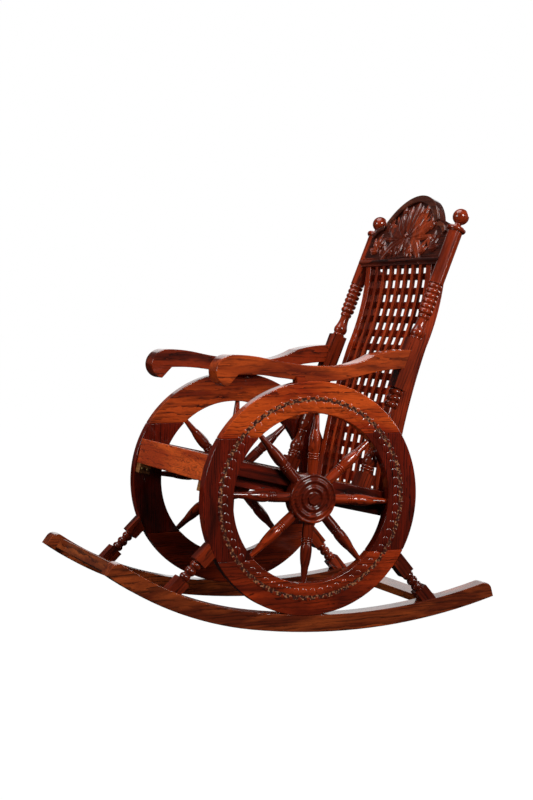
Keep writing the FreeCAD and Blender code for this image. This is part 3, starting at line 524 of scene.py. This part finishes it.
# Sprays at the sides: place across and up, turn and length of each leaf.
STRETCH = 1.12
for x, up, turn, length in ((0.150, 0.050, 70, 0.058), (0.150, 0.050, 30, 0.052),
                            (0.150, 0.050, 105, 0.055), (0.095, 0.038, 60, 0.052),
                            (0.095, 0.038, 95, 0.048), (0.055, 0.038, 80, 0.038),
                            (0.150, 0.050, -10, 0.048), (0.118, 0.104, 42, 0.050),
                            (0.118, 0.104, 12, 0.044), (0.060, 0.150, 28, 0.038),
                            (0.040, 0.034, 20, 0.034)):
    for way in (1, -1):
        blade = leaf(length * STRETCH, 0.027, 0.0115, math.radians(48) * way)
        carved.append(copies(blade, [crest_spot(x * way, up, math.radians(turn) * way)]))
bud = dome(0.010, 0.010, 0.011)
carved.append(copies(bud, [crest_spot(0, STEM, 0) @ Matrix.Rotation(math.pi / 2, 4, "X")]))
start_piece()
for blade in carved:
    blade.select_set(True)
bpy.context.view_layer.objects.active = carved[0]
bpy.ops.object.join()
CREST_MIDDLE = CREST @ Vector((0, 0, 0.11))
own(carved[0], "crest_leaves",
    wood("crest leaf wood", CREST_MIDDLE, lean=22.7, tones=LEAF_TONES, pitch=5, swirl=9))


def raised_border(centre, outer, inner, start, sweep):
    """A flat raised border that follows an arc: its section is spun round the arc's centre."""
    rise = 0.007
    start_piece()
    bpy.ops.mesh.primitive_plane_add(size=1, rotation=(0, 0, 0))
    piece = bpy.context.object
    bpy.ops.object.mode_set(mode="EDIT")
    bpy.ops.mesh.select_all(action="SELECT")
    bpy.ops.transform.resize(value=(outer - inner, rise, 1), center_override=(0, 0, 0))
    bpy.ops.transform.translate(value=((outer + inner) / 2, FACE - rise / 2, 0))
    bpy.ops.object.mode_set(mode="OBJECT")
    piece.rotation_euler = (0, start - math.pi / 2, 0)
    piece.location = (centre[0], 0, centre[1])
    settle()
    bpy.ops.object.mode_set(mode="EDIT")
    bpy.ops.mesh.select_all(action="SELECT")
    bpy.ops.mesh.spin(steps=36, angle=-sweep, center=(centre[0], 0, centre[1]), axis=(0, 1, 0))
    bpy.ops.mesh.select_all(action="SELECT")
    bpy.ops.mesh.remove_doubles(threshold=0.00001)
    bpy.ops.mesh.normals_make_consistent(inside=False)
    bpy.ops.object.mode_set(mode="OBJECT")
    soft = piece.modifiers.new("eased", "BEVEL")
    soft.width, soft.segments = 0.002, 3
    soft.angle_limit = math.radians(40)
    bpy.ops.object.modifier_apply(modifier=soft.name)
    bpy.ops.object.shade_smooth_by_angle(angle=math.radians(40))
    piece.matrix_world = CREST
    bpy.context.view_layer.update()
    settle()
    return piece


# The border follows the arch in the middle and a small arc above each shoulder.
ARCH_RADIUS, ARCH_HALF_SPAN, SHOULDER = 0.187, 0.153, math.radians(54)
ARCH = math.asin(ARCH_HALF_SPAN / ARCH_RADIUS)
borders = [raised_border((0, 0.027), ARCH_RADIUS, 0.166, -ARCH, 2 * ARCH)]
for way in (1, -1):
    borders.append(raised_border((0.1561 * way, 0.0525), 0.074, 0.060,
                                 0 if way > 0 else -SHOULDER, SHOULDER))
start_piece()
for strip in borders:
    strip.select_set(True)
bpy.context.view_layer.objects.active = borders[0]
bpy.ops.object.join()
own(borders[0], "crest_border",
    wood("crest border wood", CREST_MIDDLE, across=True, tones=BORDER_AND_SHEEN_TONES, pitch=5, swirl=5))

# ---------------------------------------------------------------- studio
# A pale floor, soft light from large panels, and a camera to the front left of the chair. Floor
# and surroundings look white but give almost no light, so the varnish keeps its depth.
start_piece()
bpy.ops.mesh.primitive_plane_add(size=60, location=(0, 0, 0))
floor = bpy.context.object
floor.name = "studio_floor"
paper = bpy.data.materials.new("studio paper")
paper.use_nodes = True
sheet = paper.node_tree.nodes["Principled BSDF"]
sheet.inputs["Base Color"].default_value = (0.012, 0.012, 0.012, 1)
sheet.inputs["Roughness"].default_value = 0.9
sheet.inputs["Specular IOR Level"].default_value = 0
sheet.inputs["Emission Color"].default_value = (1, 1, 1, 1)
seen = paper.node_tree.nodes.new("ShaderNodeLightPath")
paper.node_tree.links.new(seen.outputs["Is Camera Ray"], sheet.inputs["Emission Strength"])
floor.data.materials.append(paper)

world = bpy.data.worlds.new("studio")
bpy.context.scene.world = world
world.use_nodes = True
back = world.node_tree.nodes["Background"]
back.inputs["Color"].default_value = (1, 1, 1, 1)
direct = world.node_tree.nodes.new("ShaderNodeLightPath")
bright = world.node_tree.nodes.new("ShaderNodeMapRange")
bright.inputs["To Min"].default_value = 0.03
bright.inputs["To Max"].default_value = 1.0
world.node_tree.links.new(direct.outputs["Is Camera Ray"], bright.inputs["Value"])
world.node_tree.links.new(bright.outputs["Result"], back.inputs["Strength"])


def panel(name, place, size, power):
    """A flat panel of soft light, aimed at the middle of the chair."""
    start_piece()
    bpy.ops.object.light_add(type="AREA", location=place)
    light = bpy.context.object
    light.name = name
    light.data.shape = "RECTANGLE"
    light.data.size, light.data.size_y = size
    light.data.energy = power
    aim = Vector((0, 0, 0.55)) - Vector(place)
    light.rotation_euler = aim.to_track_quat("-Z", "Y").to_euler()


panel("key", (4.4, 0.9, 2.9), (1.3, 1.3), 150)
panel("front", (0.4, -4.4, 2.2), (2.0, 1.6), 90)
panel("top", (-0.2, -0.3, 3.8), (2.4, 2.4), 80)
panel("far wall", (-4.6, 1.9, 1.5), (3.8, 2.8), 36)
panel("behind", (-1.6, 4.8, 2.3), (2.4, 2.0), 85)
panel("strip", (3.6, 2.9, 1.7), (0.35, 2.2), 34)

# The camera stands so far round and above the wheel's axle, and a little across and up from it.
around, above, reach = math.radians(66.43), math.radians(3.68), 4.369
aside, upward = -0.0057, 0.2406
bpy.ops.object.camera_add(rotation=(math.pi / 2 - above, 0, around))
camera = bpy.context.object
camera.data.lens, camera.data.sensor_width = 70.88, 36
axes = camera.rotation_euler.to_matrix()
camera.location = AXLE + axes @ Vector((aside, upward, reach))
bpy.context.scene.view_settings.view_transform = "Standard"
bpy.context.scene.camera = camera
